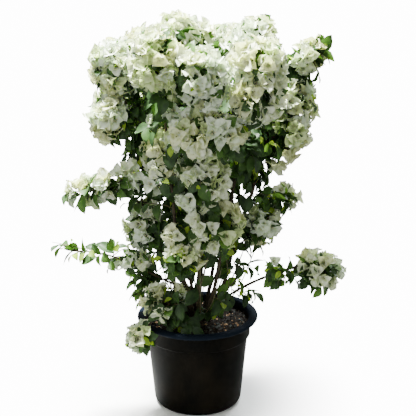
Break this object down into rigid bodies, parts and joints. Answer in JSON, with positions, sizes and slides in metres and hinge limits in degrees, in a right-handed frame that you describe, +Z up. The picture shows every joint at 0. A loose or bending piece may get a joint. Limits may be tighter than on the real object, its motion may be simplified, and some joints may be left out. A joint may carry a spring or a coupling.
{
  "type": "potted bougainvillea bush",
  "caption": "White-flowered bougainvillea: a vase of slender woody stems with full masses of papery blossom and green leaves, growing in a round black nursery pot.",
  "frame": {"origin": "centre of the pot's flat underside", "axes": "+Z up along the pot's axis, -Y towards the front of the bush as pictured, +X to its right"},
  "size_m": [0.7576, 0.473, 1.0086],
  "materials": {
    "pot_plastic": "worn black moulded plastic",
    "soil": "dark potting soil with small stones",
    "bark": "rough grey-brown bark",
    "blossom": "papery cream-white bracts",
    "leaf": "smooth dark green leaves"
  },
  "bodies": {
    "root": {"pot": "pot_plastic", "soil": "soil", "root_crown": "bark", "left_cane": "bark", "front_left_cane": "bark", "front_cane": "bark", "front_right_cane": "bark", "right_cane": "bark", "back_right_cane": "bark", "back_cane": "bark", "back_left_cane": "bark", "centre_cane": "bark", "right_low_bough": "bark", "front_low_bough": "bark", "hanging_bough": "bark", "top_left_mass": "blossom", "top_mid_left_mass": "blossom", "top_mid_right_mass": "blossom", "front_top_left_mass": "blossom", "front_top_mass": "blossom", "front_top_right_mass": "blossom", "right_sprig_mass": "blossom", "far_right_mass": "blossom", "front_right_mass": "blossom", "front_mid_mass": "blossom", "upper_left_mass": "blossom", "left_leaves_mass": "leaf", "left_centre_mass": "blossom", "right_centre_mass": "leaf", "right_leaves_mass": "leaf", "centre_mid_mass": "blossom", "left_arm_mass": "blossom", "right_mid_sprig_mass": "blossom", "right_bloom_mass": "blossom", "centre_low_mass": "blossom", "left_low_mass": "blossom", "low_left_sprig_mass": "blossom", "low_bloom_mass": "blossom", "right_low_mass": "blossom", "front_low_mass": "blossom", "hanging_bloom_mass": "blossom", "low_left_leaves_mass": "leaf", "low_centre_leaves_mass": "leaf", "back_top_left_mass": "blossom", "back_top_right_mass": "blossom", "back_right_mass": "blossom", "back_left_mass": "blossom", "back_mid_mass": "blossom", "back_low_mass": "blossom", "back_base_mass": "blossom", "inner_leaves_mass": "leaf", "right_low_leaves_mass": "leaf"}
  },
  "joints": []
}
